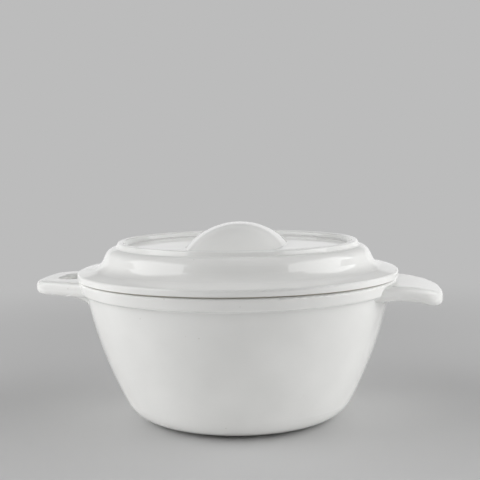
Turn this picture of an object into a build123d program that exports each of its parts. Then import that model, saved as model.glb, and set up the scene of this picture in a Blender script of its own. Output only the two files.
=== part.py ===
"""Lidded serving bowl in white glazed stoneware.

The bowl is cast in one piece with its two lug handles: a pierced one on the left, a drooped one on
the right. The lid is cast in one piece with its oval knob, drops into the mouth of the bowl and
lifts straight off.
Millimetres, +Z up, the foot stands on Z = 0, the axis of the bowl is Z and the handles lie along X.
"""
import os
from math import atan2, cos, degrees, hypot, isclose, pi, radians, sin, tan

from build123d import *

# Driving dimensions of the bowl
bowl_height = 105.5        # foot to rim
rim_radius = 119.0         # outside of the rim
wall = 6.0
floor_thickness = 7.0
base_inset = 55.1          # rim to where the flat of the bottom turns into the corner
corner_radius = 24.3
corner_lean = 26.9         # degrees the wall leans out where it leaves the corner
collar_height = 9.3        # thick band below the rim
collar_step = 3.2          # how far the band stands proud of the wall
collar_lean = 12.0         # degrees the band leans out
collar_round = 2.2
collar_hollow = 1.2        # hollow where the wall meets the band
rim_round = 1.4
foot_inset = 15.9          # edge of the flat bottom to the middle of the foot ring
foot_width = 7.0
foot_height = 1.2
foot_recess = 0.8          # hollow of the bottom inside the foot ring

# Driving dimensions of the handles
loop_reach = 34.2          # rim to the tip of the pierced handle
lug_reach = 33.3           # rim to the tip of the drooped handle
handle_root_half = 42.0    # half width at the rim
handle_tip_half = 29.0     # half width at the tip, before the corners are rounded
handle_corner = 18.0       # corner radius seen from above
handle_flare = 9.0         # hollow radius where a handle leaves the collar, seen from above
loop_drop = 1.2            # top of the pierced handle below the rim
lug_drop = 2.3             # top of the drooped handle below the rim
handle_edge = 4.4          # rounding of the handle edges
loop_thickness = 10.4
lug_thickness = 10.4
lug_droop = 24.0           # degrees the drooped handle has bent down at its tip
slot_width = 15.5          # finger slot, measured away from the bowl
slot_length = 33.0         # finger slot, along the rim
slot_wall = 2.2            # rim to the near side of the slot
slot_round = 2.4
loop_web_radius = 25.0     # hollow curve of the web under the pierced handle
loop_web_angle = 21.5      # degrees of the rim that this web spans, each way
lug_web_radius = 13.0      # hollow curve of the web under the drooped handle
lug_web_angle = 18.0       # degrees of the rim that this web spans, each way
web_sweep = 53.0           # degrees a web has curved down where it meets the wall
web_end_radius = 1.5       # hollow curve of a web where it runs out at its ends
web_fullness = 6.0         # power by which a web keeps its depth before it fades to its ends
web_end_rise = 4.0         # how far the ends of a web rise into the collar
web_steps = 6              # sections of a web, from its middle to either end
root_bury = 1.0            # how far the roots of the handles lie below the wall

# Driving dimensions of the lid
lid_overhang = 1.0         # lid edge beyond the rim
lid_lift = 1.2             # open shadow line between the lid edge and the rim
lid_shell = 5.5
seat_inset = 3.5           # outside of the lid's seat ring, inside the rim
spigot_clearance = 1.0     # between the lid's spigot and the mouth of the bowl
spigot_depth = 6.0
spigot_wall = 5.8
flange_edge = 4.4          # height of the lid edge
flange_width = 16.8        # lid edge to the foot of the dome
flange_rise = 3.8          # climb of the flange to the foot of the dome
dome_height = 21.3         # bottom of the lid edge to the shoulder of the dome
dome_lean = 24.6           # degrees the dome wall leans in
shoulder_width = 6.0       # shoulder to the foot of the rim bead
shoulder_rise = 1.2        # climb of the shoulder to the plateau inside the bead
bead_width = 6.9           # raised bead round the plateau
bead_height = 3.9          # bead above the plateau
bead_taper = 1.6           # how far each side of the bead leans in
knob_half_width = 36.8     # oval knob, from the axis towards a handle
knob_end_gap = 10.3        # bead to the front and back ends of the oval knob
knob_height = 16.9         # plateau to the top of the knob
knob_blend = 0.8           # hollow where the knob meets the plateau
edge_round = 1.7           # lid edge
flange_blend = 11.0        # hollow where the flange meets the dome
shoulder_round = 8.7
bead_round = 1.5
hollow_round = 4.0         # hollow side of the lid
spigot_round = 1.5

# Sizes that follow from the driving dimensions and are shared by the pieces
base_radius = rim_radius - base_inset
foot_radius = base_radius - foot_inset
collar_base = bowl_height - collar_height
collar_foot_radius = rim_radius - collar_height * tan(radians(collar_lean))
wall_top_radius = collar_foot_radius - collar_step
mouth_radius = wall_top_radius - wall
corner_end_radius = base_radius + corner_radius * cos(radians(corner_lean))
corner_end_height = foot_height + corner_radius * (1 - sin(radians(corner_lean)))
wall_chord_lean = degrees(atan2(wall_top_radius - corner_end_radius, collar_base - corner_end_height))
wall_top_lean = 2 * wall_chord_lean - corner_lean
loop_tip = rim_radius + loop_reach
lug_tip = rim_radius + lug_reach
loop_top = bowl_height - loop_drop
lug_top = bowl_height - lug_drop
handle_root_radius = mouth_radius + wall / 2
lid_base = bowl_height + lid_lift
lid_radius = rim_radius + lid_overhang


def corner_at(section, radius, height):
    """The corner of a profile that lies nearest to a radius and a height."""
    return min(section.vertices(), key=lambda v: hypot(v.X - radius, v.Y - height))


def wall_line(start, turn_radius, top):
    """One face of the bowl wall: the corner arc, then a long arc in the same direction up to the top."""
    turn = JernArc(start, (1, 0), turn_radius, 90 - corner_lean)
    rise = TangentArc(turn @ 1, top, tangent=turn % 1)
    return turn, rise


def bowl_shell():
    """Body of the bowl: foot ring, rounded bottom, leaning wall and thick collar."""
    inside_floor = foot_height + floor_thickness
    recess = foot_height + foot_recess
    foot_inner = foot_radius - foot_width / 2
    foot_outer = foot_radius + foot_width / 2
    with BuildSketch(Plane.XZ) as section:
        with BuildLine():
            outer_turn, outer_rise = wall_line(
                (base_radius, foot_height), corner_radius, (wall_top_radius, collar_base))
            inner_turn, inner_rise = wall_line(
                (base_radius, inside_floor), corner_radius - wall, (mouth_radius, collar_base))
            Polyline(outer_rise @ 1, (collar_foot_radius, collar_base), (rim_radius, bowl_height),
                     (mouth_radius, bowl_height), inner_rise @ 1)
            Polyline(inner_turn @ 0, (0, inside_floor), (0, recess), (foot_inner, recess), (foot_inner, 0),
                     (foot_outer, 0), (foot_outer, foot_height), outer_turn @ 0)
        make_face()
        for rim_edge in (rim_radius, mouth_radius):
            fillet(corner_at(section, rim_edge, bowl_height), rim_round)
        fillet(corner_at(section, collar_foot_radius, collar_base), collar_round)
        fillet(corner_at(section, wall_top_radius, collar_base), collar_hollow)
    return revolve(section.sketch, Axis.Z)


def handle_plan(tip):
    """Outline of a handle seen from above, pointing along +X and growing out of a hub inside the collar."""
    narrowing = (handle_root_half - handle_tip_half) / (tip - rim_radius)
    axis_half = handle_root_half + rim_radius * narrowing
    hub_radius = wall_top_radius - root_bury
    with BuildSketch() as plan:
        Polygon((0, -axis_half), (tip, -handle_tip_half), (tip, handle_tip_half), (0, axis_half),
                align=None)
        Circle(tip, mode=Mode.INTERSECT)
        fillet([v for v in plan.vertices() if v.X > rim_radius], handle_corner)
        Circle(hub_radius)
        hollows = [v for v in plan.vertices() if v.X > 0 and isclose(hypot(v.X, v.Y), hub_radius)]
        fillet(hollows, handle_flare)
    return plan.sketch


def finish_handle(handle, tip):
    """Round the edges of a handle all the way round and trim its root to the middle of the wall."""
    rounded = fillet(handle.edges().filter_by(Axis.Z, reverse=True), handle_edge)
    with BuildSketch() as outside:
        Rectangle(tip, 2 * tip, align=(Align.MIN, Align.CENTER))
        Circle(handle_root_radius, mode=Mode.SUBTRACT)
    return rounded & extrude(outside.sketch, bowl_height)


def slot_prism(margin):
    """The finger slot of the pierced handle, pointing along +X, widened all round by a margin."""
    middle = rim_radius + slot_wall + slot_width / 2
    outline = SlotOverall(slot_length + 2 * margin, slot_width + 2 * margin, rotation=90)
    return extrude(Pos(middle, 0) * outline, bowl_height)


def loop_handle():
    """Pierced handle, pointing along +X: a flat lug with a finger slot, on a web cut back round it."""
    underside = loop_top - loop_thickness
    slab = Pos(0, 0, underside) * extrude(handle_plan(loop_tip), loop_thickness)
    lug = finish_handle(slab, loop_tip)
    slot = slot_prism(0)
    pierced = lug - slot
    mouths = new_edges(lug, slot, combined=pierced).filter_by(Axis.Z, reverse=True)
    carrier = web(underside, loop_top - handle_edge, loop_web_radius, loop_web_angle)
    return fillet(mouths, slot_round) + (carrier - slot_prism(slot_round))


def drooped_handle():
    """Closed handle, pointing along +X: a lug of the same form, bent down towards its tip, on its web."""
    underside = lug_top - lug_thickness
    bend_start = collar_foot_radius
    bend_radius = (lug_tip - bend_start) / sin(radians(lug_droop))
    with BuildSketch(Plane.XZ) as section:
        with BuildLine():
            top = JernArc((bend_start, lug_top), (1, 0), bend_radius, -2 * lug_droop)
            below = JernArc((bend_start, underside), (1, 0), bend_radius - lug_thickness, -2 * lug_droop)
            Line(top @ 1, below @ 1)
            Polyline(top @ 0, (-lug_tip, lug_top), (-lug_tip, underside), below @ 0)
        make_face()
    bent = extrude(section.sketch, lug_tip, both=True)
    lug = finish_handle(bent & extrude(handle_plan(lug_tip), bowl_height), lug_tip)
    return lug + web(underside, lug_top - handle_edge, lug_web_radius, lug_web_angle)


def web_section(underside, head, radius):
    """Upright section of a web: a hollow curve from the underside of a handle down to the wall."""
    toe_depth = collar_base - underside + radius * (1 - cos(radians(web_sweep)))
    toe_radius = wall_top_radius - toe_depth * tan(radians(wall_top_lean)) - root_bury
    out = toe_radius + radius * sin(radians(web_sweep))
    root = toe_radius - root_bury
    with BuildSketch(Plane.XZ) as section:
        with BuildLine():
            hollow = JernArc((out, underside), (-1, 0), radius, web_sweep)
            Polyline(hollow @ 1, (root, (hollow @ 1).Y), (root, head), (out, head), hollow @ 0)
        make_face()
    return section.sketch


def web(underside, head, radius, half_angle):
    """Web that carries a handle from below, pointing along +X: deep in the middle, fading to its ends."""
    sections = []
    for step in range(-web_steps, web_steps + 1):
        share = sin(step / web_steps * pi / 2)
        depth = cos(abs(share) ** web_fullness * pi / 2)
        rise = web_end_rise * (1 - depth)
        section = web_section(underside + rise, head, web_end_radius + (radius - web_end_radius) * depth)
        sections.append(Rot(0, 0, half_angle * share) * section)
    return loft(sections)


def make_bowl():
    """The bowl with its pierced handle on the left and its drooped handle on the right."""
    return bowl_shell() + drooped_handle() + Rot(0, 0, 180) * loop_handle()


def oval_cap(radius, stretch, centre, bottom):
    """Oval cap: the upper part of a ball, stretched from front to back and cut level at the bottom."""
    ball = scale(Sphere(radius), by=(1, stretch, 1))
    return split(Pos(0, 0, centre) * ball, Plane.XY.offset(bottom), keep=Keep.TOP)


def add_knob(body, plateau, plateau_radius, ceiling):
    """Set the oval knob on the plateau of the lid and hollow it out from below."""
    crown_radius = (knob_half_width ** 2 + knob_height ** 2) / (2 * knob_height)
    crown_centre = plateau + knob_height - crown_radius
    stretch = (plateau_radius - knob_end_gap) / knob_half_width
    knob = oval_cap(crown_radius, stretch, crown_centre, (plateau + ceiling) / 2)
    topped = body + knob
    topped = fillet(new_edges(body, knob, combined=topped), knob_blend)
    hollow = oval_cap(crown_radius - lid_shell, stretch, crown_centre, ceiling - lid_shell)
    hollowed = topped - hollow
    return fillet(new_edges(topped, hollow, combined=hollowed), hollow_round)


def make_lid():
    """The lid: flange, dome, beaded plateau and oval knob, hollow below, with a spigot and a seat."""
    flange_top = lid_base + flange_edge
    dome_foot = (lid_radius - flange_width, flange_top + flange_rise)
    shoulder_z = lid_base + dome_height
    shoulder = (dome_foot[0] - (shoulder_z - dome_foot[1]) * tan(radians(dome_lean)), shoulder_z)
    bead_foot = (shoulder[0] - shoulder_width, shoulder_z + shoulder_rise)
    plateau = bead_foot[1]
    bead_inner = bead_foot[0] - bead_width
    bead_top = plateau + bead_height
    ceiling = plateau - lid_shell
    hollow_lean = (shoulder_z - ceiling) * tan(radians(dome_lean)) - lid_shell / cos(radians(dome_lean))
    hollow_radius = shoulder[0] + hollow_lean
    spigot_outer = mouth_radius - spigot_clearance
    spigot_inner = spigot_outer - spigot_wall
    spigot_end = bowl_height - spigot_depth
    seat_outer = rim_radius - seat_inset
    with BuildSketch(Plane.XZ) as section:
        with BuildLine():
            Polyline((0, ceiling), (0, plateau), (bead_inner, plateau), (bead_inner + bead_taper, bead_top),
                     (bead_foot[0] - bead_taper, bead_top), bead_foot, shoulder, dome_foot,
                     (lid_radius, flange_top), (lid_radius, lid_base), (seat_outer, lid_base),
                     (seat_outer, bowl_height), (spigot_outer, bowl_height), (spigot_outer, spigot_end),
                     (spigot_inner, spigot_end), (hollow_radius, ceiling), close=True)
        make_face()
        roundings = (
            (bead_round, ((bead_inner, plateau), (bead_inner + bead_taper, bead_top),
                          (bead_foot[0] - bead_taper, bead_top), bead_foot)),
            (shoulder_round, (shoulder,)),
            (flange_blend, (dome_foot,)),
            (edge_round, ((lid_radius, flange_top),)),
            (spigot_round, ((spigot_outer, spigot_end), (spigot_inner, spigot_end))),
            (hollow_round, ((hollow_radius, ceiling),)),
        )
        for radius, corners in roundings:
            fillet([corner_at(section, *corner) for corner in corners], radius)
    return add_knob(revolve(section.sketch, Axis.Z), plateau, bead_inner, ceiling)


pieces = {"bowl": make_bowl(), "lid": make_lid()}
os.makedirs("parts", exist_ok=True)
for name, piece in pieces.items():
    export_step(piece, f"parts/{name}.step")
    print(name, len(piece.solids()), piece.is_valid, piece.volume, piece.bounding_box())
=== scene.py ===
"""Lidded serving bowl in white glazed stoneware: its finish, a plain studio round it and the camera.

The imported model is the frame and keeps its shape. The bowl and the lid get their glaze here, with the
bare clay rings on which they were fired. Metres, +Z up, the foot of the bowl stands on Z = 0.
"""

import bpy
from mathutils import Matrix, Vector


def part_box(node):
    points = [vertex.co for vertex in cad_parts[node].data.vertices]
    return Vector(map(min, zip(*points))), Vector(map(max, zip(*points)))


bl_info = {
    "name": "Lidded Bowl Finish",
    "version": (1, 0, 0),
    "blender": (4, 5, 0),
    "location": "View3D > Sidebar > Lidded Bowl",
    "description": "Glazes the lidded bowl and sets it in a plain studio",
    "category": "Object",
}

from math import cos, pi, radians, sin

import bmesh
import bpy
from bpy.props import FloatProperty, FloatVectorProperty, PointerProperty
from mathutils import Matrix, Vector

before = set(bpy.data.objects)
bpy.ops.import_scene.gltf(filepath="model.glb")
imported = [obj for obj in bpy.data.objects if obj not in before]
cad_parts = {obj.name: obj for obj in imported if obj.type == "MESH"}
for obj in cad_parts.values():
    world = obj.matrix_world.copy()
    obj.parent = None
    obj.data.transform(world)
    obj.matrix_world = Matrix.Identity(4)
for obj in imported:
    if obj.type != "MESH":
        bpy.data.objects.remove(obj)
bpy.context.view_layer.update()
FOOT_HEIGHT = 0.0
RIM_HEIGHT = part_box("bowl")[1].z
LID_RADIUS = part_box("lid")[1].x
# Inside this radius the hollow of the lid is glazed, also at the height of the rim.
SEAT_RADIUS = 0.9 * LID_RADIUS

# Noise values between which the full glaze turns into a cloud.
CLOUD_START = 0.35
CLOUD_END = 0.65
# Openness of the surface at which the painted shade in hollows starts to show, and at which it shows fully.
SHADE_START = 0.95
SHADE_END = 0.55
# Soft border of a speck, as a share of its radius.
SPECK_SOFTNESS = 0.5

# Facets of the studio floor along its curve and round the bowl, and the distance that joins its seam.
CURVE_STEPS = 24
ROUND_STEPS = 96
SEAM_DISTANCE = 0.0001
# Width of the camera's sensor in millimetres.
SENSOR_WIDTH = 36.0

# Sockets of a Mix node go by their place, because several of them share a name.
MIX_SHARE = 0
NUMBER_A = 2
NUMBER_B = 3
COLOUR_A = 6
COLOUR_B = 7
NUMBER_OUT = 0
COLOUR_OUT = 2


def linear(hex_colour):
    """Linear RGBA of an sRGB hex colour."""
    channels = [int(hex_colour[i:i + 2], 16) / 255 for i in (0, 2, 4)]
    return tuple(c / 12.92 if c <= 0.04045 else ((c + 0.055) / 1.055) ** 2.4 for c in channels) + (1.0,)


def add_node(tree, kind, inputs=None, **settings):
    """Add a node, set its properties, and give its inputs either values or the outputs that feed them."""
    node = tree.nodes.new(kind)
    for name, value in settings.items():
        setattr(node, name, value)
    for name, value in (inputs or {}).items():
        if isinstance(value, bpy.types.NodeSocket):
            tree.links.new(value, node.inputs[name])
        else:
            node.inputs[name].default_value = value
    return node


class GlazeSettings(bpy.types.PropertyGroup):
    """The white gloss glaze and the bare clay below it."""
    glaze_colour: FloatVectorProperty(
        name="Glaze", description="Colour of the glaze where it lies full",
        subtype="COLOR", size=4, min=0, max=1, default=linear("EEEEEC"))
    cloud_colour: FloatVectorProperty(
        name="Clouds", description="Colour of the glaze where it is a little thinner",
        subtype="COLOR", size=4, min=0, max=1, default=linear("E9E9E7"))
    # Painted shade: a greyer colour laid into hollows and creases, where shade falls.
    painted_shade_colour: FloatVectorProperty(
        name="Pools", description="Colour of the glaze where it ran together in hollows",
        subtype="COLOR", size=4, min=0, max=1, default=linear("DCDDDB"))
    speck_colour: FloatVectorProperty(
        name="Specks", description="Colour of the specks that rise through the glaze",
        subtype="COLOR", size=4, min=0, max=1, default=linear("D2D0CA"))
    clay_colour: FloatVectorProperty(
        name="Bare clay", description="Colour of the fired clay that carries no glaze",
        subtype="COLOR", size=4, min=0, max=1, default=linear("D8D0C2"))
    cloud_size: FloatProperty(
        name="Cloud size", description="Width of the clouds in the glaze",
        unit="LENGTH", default=0.045)
    # How far the painted shade reaches out of a hollow.
    shade_reach: FloatProperty(
        name="Pool reach", description="How far out of a hollow the pooled glaze shows",
        unit="LENGTH", default=0.010)
    speck_spacing: FloatProperty(
        name="Speck spacing", description="Usual distance between specks",
        unit="LENGTH", default=0.016)
    speck_size: FloatProperty(
        name="Speck size", description="Radius of a speck",
        unit="LENGTH", precision=5, default=0.0004)
    ripple_size: FloatProperty(
        name="Ripple size", description="Width of the soft ripples on the glaze",
        unit="LENGTH", default=0.011)
    ripple_depth: FloatProperty(
        name="Ripple depth", description="Depth of the soft ripples on the glaze",
        unit="LENGTH", precision=6, default=0.00002)
    grit_size: FloatProperty(
        name="Grit size", description="Grain of the bare clay, drawn coarse enough to show",
        unit="LENGTH", precision=5, default=0.0009)
    grit_depth: FloatProperty(
        name="Grit depth", description="Depth of the grain of the bare clay",
        unit="LENGTH", precision=6, default=0.00015)
    bare_depth: FloatProperty(
        name="Bare depth", description="How far the bare clay reaches above and below the face it stood on",
        unit="LENGTH", precision=5, default=0.0006)
    bare_border: FloatProperty(
        name="Bare border", description="Distance to each side over which the glaze ends at bare clay",
        unit="LENGTH", precision=5, default=0.0003)
    glaze_roughness: FloatProperty(
        name="Glaze roughness", description="Roughness of the glaze where it lies full",
        subtype="FACTOR", min=0, max=1, default=0.03)
    cloud_roughness: FloatProperty(
        name="Cloud roughness", description="Roughness of the glaze where it is thinnest",
        subtype="FACTOR", min=0, max=1, default=0.05)
    clay_roughness: FloatProperty(
        name="Clay roughness", description="Roughness of the bare clay",
        subtype="FACTOR", min=0, max=1, default=0.8)
    glaze_ior: FloatProperty(
        name="Glaze IOR", description="Index of refraction of the glassy skin", min=1, default=1.5)


class StudioSettings(bpy.types.PropertyGroup):
    """Floor, lamps and camera round the bowl."""
    floor_colour: FloatVectorProperty(
        name="Floor", description="Colour of the board near the bowl, as it is seen",
        subtype="COLOR", size=4, min=0, max=1, default=linear("C8C8C8"))
    backdrop_colour: FloatVectorProperty(
        name="Backdrop", description="Even colour that the board shows far from the bowl",
        subtype="COLOR", size=4, min=0, max=1, default=linear("BCBCBC"))
    table_colour: FloatVectorProperty(
        name="Table", description="Colour by which the board near the bowl lights it from below",
        subtype="COLOR", size=4, min=0, max=1, default=linear("F2F2F2"))
    room_colour: FloatVectorProperty(
        name="Room", description="Colour by which the board far from the bowl lights it",
        subtype="COLOR", size=4, min=0, max=1, default=linear("707070"))
    board_roughness: FloatProperty(
        name="Board roughness", description="Roughness of the painted board",
        subtype="FACTOR", min=0, max=1, default=0.9)
    board_specular: FloatProperty(
        name="Board sheen", description="Specular level of the painted board",
        subtype="FACTOR", min=0, max=1, default=0.1)
    floor_radius: FloatProperty(
        name="Floor radius", description="Flat part of the round floor",
        unit="LENGTH", default=1.8)
    sweep_radius: FloatProperty(
        name="Sweep radius", description="Curve from the floor up into the wall",
        unit="LENGTH", default=0.6)
    wall_height: FloatProperty(
        name="Wall height", description="Top of the wall above the floor",
        unit="LENGTH", default=1.2)
    fade_start: FloatProperty(
        name="Fade start", description="Distance at which the board starts to show the backdrop",
        unit="LENGTH", default=0.22)
    fade_end: FloatProperty(
        name="Fade end", description="Distance from which the board shows only the backdrop",
        unit="LENGTH", default=0.8)
    table_radius: FloatProperty(
        name="Table radius", description="How far the board lights the bowl as a table",
        unit="LENGTH", default=0.9)
    room_start: FloatProperty(
        name="Room start", description="Distance from which the board lights the bowl as the room",
        unit="LENGTH", default=1.3)
    side_distance: FloatProperty(
        name="Side distance", description="From the bowl to the softboxes and panels at its sides",
        unit="LENGTH", default=1.0)
    left_turn: FloatProperty(
        name="Left turn", description="Turn from the camera to the lamps on the left",
        subtype="ANGLE", default=radians(-80))
    right_turn: FloatProperty(
        name="Right turn", description="Turn from the camera to the lamps on the right",
        subtype="ANGLE", default=radians(82))
    left_width: FloatProperty(
        name="Left width", description="Width of the lamps on the left",
        unit="LENGTH", default=1.18)
    right_width: FloatProperty(
        name="Right width", description="Width of the lamps on the right",
        unit="LENGTH", default=1.45)
    softbox_height: FloatProperty(
        name="Softbox height", description="Height of the softboxes, which hang above the low panels",
        unit="LENGTH", default=0.72)
    panel_height: FloatProperty(
        name="Panel height", description="Height of the low panels, which stand on the floor",
        unit="LENGTH", default=0.55)
    left_softbox_power: FloatProperty(
        name="Left softbox", description="Power of the softbox on the left",
        unit="POWER", default=7.1)
    right_softbox_power: FloatProperty(
        name="Right softbox", description="Power of the softbox on the right",
        unit="POWER", default=8.1)
    left_panel_power: FloatProperty(
        name="Left panel", description="Power of the low panel on the left",
        unit="POWER", default=5.8)
    right_panel_power: FloatProperty(
        name="Right panel", description="Power of the low panel on the right",
        unit="POWER", default=6.5)
    back_distance: FloatProperty(
        name="Back distance", description="From the bowl to the card behind it",
        unit="LENGTH", default=1.3)
    back_width: FloatProperty(
        name="Back width", description="Width of the card behind the bowl",
        unit="LENGTH", default=2.2)
    back_height: FloatProperty(
        name="Back height", description="Height of the card behind the bowl",
        unit="LENGTH", default=0.42)
    back_power: FloatProperty(
        name="Back card", description="Power of the white card behind the bowl",
        unit="POWER", default=1.1)
    fill_colour: FloatVectorProperty(
        name="Fill", description="Colour of the weak light from all round",
        subtype="COLOR", size=4, min=0, max=1, default=linear("FFFFFF"))
    fill_front: FloatProperty(
        name="Front fill", description="Strength of the weak light from the camera's side",
        min=0, default=0.08)
    fill_back: FloatProperty(
        name="Back fill", description="Strength of the weak light from behind the bowl",
        min=0, default=0.38)
    camera_azimuth: FloatProperty(
        name="Camera azimuth", description="Turn of the camera round the bowl, to the right",
        subtype="ANGLE", default=radians(9.0))
    camera_distance: FloatProperty(
        name="Camera distance", description="Level distance from the axis of the bowl",
        unit="LENGTH", default=0.7297)
    camera_height: FloatProperty(
        name="Camera height", description="Height of the camera above the floor",
        unit="LENGTH", default=0.1982)
    camera_pitch: FloatProperty(
        name="Camera pitch", description="How far the camera looks down",
        subtype="ANGLE", default=radians(5.17))
    camera_roll: FloatProperty(
        name="Camera roll", description="Clockwise roll of the camera",
        subtype="ANGLE", default=radians(0.81))
    camera_lens: FloatProperty(
        name="Lens", description="Focal length on a sensor 36 mm wide",
        unit="CAMERA", default=72.75)
    camera_shift_x: FloatProperty(
        name="Shift sideways", description="Sideways shift of the lens, as a share of the picture",
        precision=4, default=0.0053)
    camera_shift_y: FloatProperty(
        name="Shift upwards", description="Upward shift of the lens, as a share of the picture",
        precision=4, default=0.0010)


def bare_ring(tree, place, glaze, height, inner, outer):
    """Share of bare clay: 1 on a flat ring at one height between two radii, with soft borders, else 0."""
    level = add_node(tree, "ShaderNodeSeparateXYZ", {"Vector": place}).outputs["Z"]
    flat = add_node(tree, "ShaderNodeVectorMath", {0: place, 1: (1.0, 1.0, 0.0)},
                    operation="MULTIPLY").outputs["Vector"]
    radius = add_node(tree, "ShaderNodeVectorMath", {0: flat}, operation="LENGTH").outputs["Value"]
    share = 1.0
    for value, border, inward in (
            (level, height - glaze.bare_depth, glaze.bare_border),
            (level, height + glaze.bare_depth, -glaze.bare_border),
            (radius, inner, glaze.bare_border),
            (radius, outer, -glaze.bare_border)):
        side = add_node(tree, "ShaderNodeMapRange",
                        {"Value": value, "From Min": border - inward, "From Max": border + inward},
                        interpolation_type="SMOOTHSTEP").outputs["Result"]
        share = add_node(tree, "ShaderNodeMath", {0: share, 1: side}, operation="MULTIPLY").outputs["Value"]
    return share


def glaze_material(name, glaze, height, inner, outer):
    """White gloss glaze on slip-cast stoneware, bare on one ring at a height and between two radii.

    The piece was dipped, and the glaze melted into a glassy skin. That gives the eye clear reflections of
    the lamps that waver a little on soft ripples, faint clouds where the dip lay thinner, a greyer painted
    shade in the hollows, a few pale specks, and a matt ring of bare clay where the piece stood in the kiln.
    """
    material = bpy.data.materials.new(name)
    material.use_nodes = True
    tree = material.node_tree
    tree.nodes.clear()
    place = add_node(tree, "ShaderNodeTexCoord").outputs["Object"]

    clouds = add_node(tree, "ShaderNodeTexNoise",
                      {"Vector": place, "Scale": 1 / glaze.cloud_size, "Detail": 2.0}).outputs["Fac"]
    cloud_share = add_node(tree, "ShaderNodeMapRange", {
        "Value": clouds, "From Min": CLOUD_START, "From Max": CLOUD_END}).outputs["Result"]
    colour = add_node(tree, "ShaderNodeMix", {
        MIX_SHARE: cloud_share, COLOUR_A: glaze.glaze_colour, COLOUR_B: glaze.cloud_colour},
        data_type="RGBA").outputs[COLOUR_OUT]

    # Painted shade: the more closed in a spot is, the greyer it is painted, as shade falls in hollows and
    # creases.
    openness = add_node(tree, "ShaderNodeAmbientOcclusion", {"Distance": glaze.shade_reach},
                        samples=8, only_local=True).outputs["AO"]
    painted_shade_share = add_node(tree, "ShaderNodeMapRange", {
        "Value": openness, "From Min": SHADE_START, "From Max": SHADE_END}).outputs["Result"]
    colour = add_node(tree, "ShaderNodeMix", {
        MIX_SHARE: painted_shade_share, COLOUR_A: colour, COLOUR_B: glaze.painted_shade_colour},
        data_type="RGBA").outputs[COLOUR_OUT]

    cells = add_node(tree, "ShaderNodeTexVoronoi",
                     {"Vector": place, "Scale": 1 / glaze.speck_spacing}).outputs["Distance"]
    speck_edge = glaze.speck_size / glaze.speck_spacing
    speck_share = add_node(tree, "ShaderNodeMapRange", {
        "Value": cells, "From Min": (1 + SPECK_SOFTNESS) * speck_edge,
        "From Max": (1 - SPECK_SOFTNESS) * speck_edge}).outputs["Result"]
    colour = add_node(tree, "ShaderNodeMix", {
        MIX_SHARE: speck_share, COLOUR_A: colour, COLOUR_B: glaze.speck_colour},
        data_type="RGBA").outputs[COLOUR_OUT]

    bare = bare_ring(tree, place, glaze, height, inner, outer)
    colour = add_node(tree, "ShaderNodeMix", {
        MIX_SHARE: bare, COLOUR_A: colour, COLOUR_B: glaze.clay_colour},
        data_type="RGBA").outputs[COLOUR_OUT]
    gloss = add_node(tree, "ShaderNodeMapRange", {
        "Value": clouds, "To Min": glaze.glaze_roughness,
        "To Max": glaze.cloud_roughness}).outputs["Result"]
    roughness = add_node(tree, "ShaderNodeMix", {
        MIX_SHARE: bare, NUMBER_A: gloss, NUMBER_B: glaze.clay_roughness},
        data_type="FLOAT").outputs[NUMBER_OUT]

    ripples = add_node(tree, "ShaderNodeTexNoise",
                       {"Vector": place, "Scale": 1 / glaze.ripple_size, "Detail": 1.0}).outputs["Fac"]
    skin = add_node(tree, "ShaderNodeBump",
                    {"Height": ripples, "Distance": glaze.ripple_depth}).outputs["Normal"]
    # Real grit is too fine to show at the size of a picture, so it is drawn coarser.
    grit = add_node(tree, "ShaderNodeTexNoise",
                    {"Vector": place, "Scale": 1 / glaze.grit_size, "Detail": 3.0}).outputs["Fac"]
    grain = add_node(tree, "ShaderNodeBump", {
        "Strength": bare, "Height": grit, "Distance": glaze.grit_depth, "Normal": skin}).outputs["Normal"]

    surface = add_node(tree, "ShaderNodeBsdfPrincipled", {
        "Base Color": colour, "Roughness": roughness, "IOR": glaze.glaze_ior, "Normal": grain})
    add_node(tree, "ShaderNodeOutputMaterial", {"Surface": surface.outputs["BSDF"]})
    return material


class BOWL_OT_glaze_bowl(bpy.types.Operator):
    """Glaze the bowl and leave its foot ring bare"""
    bl_idname = "lidded_bowl.glaze_bowl"
    bl_label = "Glaze the Bowl"

    def execute(self, context):
        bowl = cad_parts["bowl"]
        bowl.material_slots[0].material = glaze_material(
            "white_gloss_glaze_on_bowl", context.scene.bowl_glaze, FOOT_HEIGHT, 0.0, LID_RADIUS)
        return {"FINISHED"}


class BOWL_OT_glaze_lid(bpy.types.Operator):
    """Glaze the lid and leave the seat that rests on the rim bare"""
    bl_idname = "lidded_bowl.glaze_lid"
    bl_label = "Glaze the Lid"

    def execute(self, context):
        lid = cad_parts["lid"]
        lid.material_slots[0].material = glaze_material(
            "white_gloss_glaze_on_lid", context.scene.bowl_glaze, RIM_HEIGHT, SEAT_RADIUS, LID_RADIUS)
        return {"FINISHED"}


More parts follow.
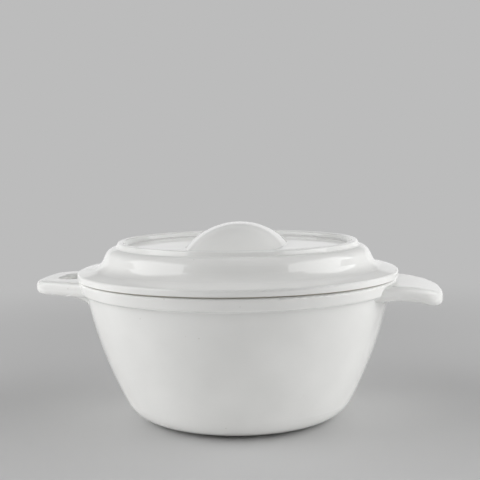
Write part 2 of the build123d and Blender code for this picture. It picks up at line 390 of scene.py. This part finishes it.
def board_material(studio):
    """Matt painted board.

    Rolled paint dries without a gloss. That gives the eye a plain pale floor that takes the shadow of the
    bowl and fades into an even backdrop. Its bounce lights the bowl as a white table in a dim room would.
    """
    material = bpy.data.materials.new("matt_painted_board")
    material.use_nodes = True
    tree = material.node_tree
    tree.nodes.clear()
    place = add_node(tree, "ShaderNodeTexCoord").outputs["Object"]
    reach = add_node(tree, "ShaderNodeVectorMath", {0: place}, operation="LENGTH").outputs["Value"]
    ray = add_node(tree, "ShaderNodeLightPath").outputs
    seen = ray["Is Camera Ray"]
    for other in ("Is Glossy Ray", "Is Transmission Ray"):
        seen = add_node(tree, "ShaderNodeMath", {0: seen, 1: ray[other]},
                        operation="MAXIMUM").outputs["Value"]

    away = add_node(tree, "ShaderNodeMapRange", {
        "Value": reach, "From Min": studio.table_radius, "From Max": studio.room_start}).outputs["Result"]
    bounce = add_node(tree, "ShaderNodeMix", {
        MIX_SHARE: away, COLOUR_A: studio.table_colour, COLOUR_B: studio.room_colour},
        data_type="RGBA").outputs[COLOUR_OUT]
    colour = add_node(tree, "ShaderNodeMix", {
        MIX_SHARE: seen, COLOUR_A: bounce, COLOUR_B: studio.floor_colour},
        data_type="RGBA").outputs[COLOUR_OUT]
    paint = add_node(tree, "ShaderNodeBsdfPrincipled", {
        "Base Color": colour, "Roughness": studio.board_roughness,
        "Specular IOR Level": studio.board_specular}).outputs["BSDF"]

    even = add_node(tree, "ShaderNodeEmission", {
        "Color": studio.backdrop_colour, "Strength": 1.0}).outputs["Emission"]
    far = add_node(tree, "ShaderNodeMapRange", {
        "Value": reach, "From Min": studio.fade_start, "From Max": studio.fade_end},
        interpolation_type="SMOOTHSTEP").outputs["Result"]
    share = add_node(tree, "ShaderNodeMath", {0: far, 1: seen}, operation="MULTIPLY").outputs["Value"]
    board = add_node(tree, "ShaderNodeMixShader", {0: share, 1: paint, 2: even}).outputs["Shader"]
    add_node(tree, "ShaderNodeOutputMaterial", {"Surface": board})
    return material


def make_sweep(studio):
    """Round floor that curves up into a wall, so that it lies behind the bowl from every side."""
    profile = [(0.0, 0.0), (studio.floor_radius, 0.0)]
    for step in range(1, CURVE_STEPS + 1):
        turn = step / CURVE_STEPS * pi / 2
        profile.append((studio.floor_radius + studio.sweep_radius * sin(turn),
                        studio.sweep_radius * (1 - cos(turn))))
    profile.append((studio.floor_radius + studio.sweep_radius, studio.wall_height))
    shape = bmesh.new()
    points = [shape.verts.new((radius, 0.0, height)) for radius, height in profile]
    edges = [shape.edges.new(pair) for pair in zip(points, points[1:])]
    bmesh.ops.spin(shape, geom=points + edges, axis=(0, 0, 1), cent=(0, 0, 0), angle=2 * pi,
                   steps=ROUND_STEPS, use_merge=True)
    bmesh.ops.remove_doubles(shape, verts=shape.verts, dist=SEAM_DISTANCE)
    bmesh.ops.recalc_face_normals(shape, faces=shape.faces)
    for face in shape.faces:
        face.smooth = True
    mesh = bpy.data.meshes.new("studio_sweep")
    shape.to_mesh(mesh)
    shape.free()
    mesh.materials.append(board_material(studio))
    sweep = bpy.data.objects.new("studio_sweep", mesh)
    bpy.context.scene.collection.objects.link(sweep)


def make_lamp(name, azimuth, distance, width, low, high, power, mirrored):
    """Upright soft lamp between two heights, at an azimuth round the bowl, mirrored in the glaze or not."""
    data = bpy.data.lights.new(name, "AREA")
    data.shape = "RECTANGLE"
    data.size = width
    data.size_y = high - low
    data.energy = power
    lamp = bpy.data.objects.new(name, data)
    lamp.location = (distance * sin(azimuth), -distance * cos(azimuth), (low + high) / 2)
    lamp.rotation_euler = (pi / 2, 0.0, azimuth)
    lamp.visible_camera = False
    lamp.visible_glossy = mirrored
    bpy.context.scene.collection.objects.link(lamp)


def make_lamps(studio):
    """Softbox over a low panel on each side, and a card behind the bowl.

    The low panels have no mirror image, because the flat lid would show it from the side as a white glare.
    """
    distance = studio.side_distance
    middle = studio.panel_height
    top = studio.panel_height + studio.softbox_height
    for side, turn, width, softbox_power, panel_power in (
            ("left", studio.left_turn, studio.left_width,
             studio.left_softbox_power, studio.left_panel_power),
            ("right", studio.right_turn, studio.right_width,
             studio.right_softbox_power, studio.right_panel_power)):
        azimuth = studio.camera_azimuth + turn
        make_lamp(side + "_softbox", azimuth, distance, width, middle, top, softbox_power, True)
        make_lamp(side + "_panel", azimuth, distance, width, 0.0, middle, panel_power, False)
    make_lamp("back_card", studio.camera_azimuth + pi, studio.back_distance, studio.back_width, 0.0,
              studio.back_height, studio.back_power, True)


def make_fill(studio):
    """Weak light from all round, weaker from the camera's side than from behind the bowl."""
    world = bpy.data.worlds.new("studio_fill")
    bpy.context.scene.world = world
    world.use_nodes = True
    tree = world.node_tree
    tree.nodes.clear()
    turn = studio.camera_azimuth
    place = add_node(tree, "ShaderNodeTexCoord").outputs["Generated"]
    depth = add_node(tree, "ShaderNodeVectorMath", {0: place, 1: (-sin(turn), cos(turn), 0.0)},
                     operation="DOT_PRODUCT").outputs["Value"]
    strength = add_node(tree, "ShaderNodeMapRange", {
        "Value": depth, "From Min": -1.0, "From Max": 1.0,
        "To Min": studio.fill_front, "To Max": studio.fill_back}).outputs["Result"]
    light = add_node(tree, "ShaderNodeBackground", {"Color": studio.fill_colour, "Strength": strength})
    add_node(tree, "ShaderNodeOutputWorld", {"Surface": light.outputs["Background"]})


def make_camera(studio):
    """Camera at the viewing angle of the photograph."""
    data = bpy.data.cameras.new("photo_camera")
    data.sensor_width = SENSOR_WIDTH
    data.lens = studio.camera_lens
    data.shift_x = studio.camera_shift_x
    data.shift_y = studio.camera_shift_y
    camera = bpy.data.objects.new("photo_camera", data)
    turn = studio.camera_azimuth
    pitch = studio.camera_pitch
    ahead = Vector((-sin(turn) * cos(pitch), cos(turn) * cos(pitch), -sin(pitch)))
    level = Vector((cos(turn), sin(turn), 0.0))
    right = Matrix.Rotation(studio.camera_roll, 3, ahead) @ level
    up = right.cross(ahead)
    facing = Matrix((right, up, -ahead)).transposed().to_4x4()
    place = Matrix.Translation((
        studio.camera_distance * sin(turn), -studio.camera_distance * cos(turn), studio.camera_height))
    camera.matrix_world = place @ facing
    bpy.context.scene.collection.objects.link(camera)
    bpy.context.scene.camera = camera


class BOWL_OT_set_studio(bpy.types.Operator):
    """Set the floor, the lamps, the fill light and the camera"""
    bl_idname = "lidded_bowl.set_studio"
    bl_label = "Set the Studio"

    def execute(self, context):
        studio = context.scene.bowl_studio
        context.scene.view_settings.view_transform = "Standard"
        make_sweep(studio)
        make_lamps(studio)
        make_fill(studio)
        make_camera(studio)
        return {"FINISHED"}


class BOWL_PT_finish(bpy.types.Panel):
    """Glaze and studio of the lidded bowl"""
    bl_idname = "BOWL_PT_finish"
    bl_label = "Lidded Bowl"
    bl_space_type = "VIEW_3D"
    bl_region_type = "UI"
    bl_category = "Lidded Bowl"

    def draw(self, context):
        for settings, operators in (
                (context.scene.bowl_glaze, (BOWL_OT_glaze_bowl, BOWL_OT_glaze_lid)),
                (context.scene.bowl_studio, (BOWL_OT_set_studio,))):
            box = self.layout.box()
            for name in settings.__annotations__:
                box.prop(settings, name)
            for operator in operators:
                box.operator(operator.bl_idname)


CLASSES = (GlazeSettings, StudioSettings, BOWL_OT_glaze_bowl, BOWL_OT_glaze_lid, BOWL_OT_set_studio,
           BOWL_PT_finish)


def register():
    """Make the settings, operators and panel known to Blender."""
    for one in CLASSES:
        bpy.utils.register_class(one)
    bpy.types.Scene.bowl_glaze = PointerProperty(type=GlazeSettings)
    bpy.types.Scene.bowl_studio = PointerProperty(type=StudioSettings)


def unregister():
    """Take the settings, operators and panel away again."""
    del bpy.types.Scene.bowl_studio
    del bpy.types.Scene.bowl_glaze
    for one in reversed(CLASSES):
        bpy.utils.unregister_class(one)


def main():
    """Glaze both pieces and set the studio."""
    register()
    bpy.ops.lidded_bowl.glaze_bowl()
    bpy.ops.lidded_bowl.glaze_lid()
    bpy.ops.lidded_bowl.set_studio()


if __name__ == "__main__":
    main()
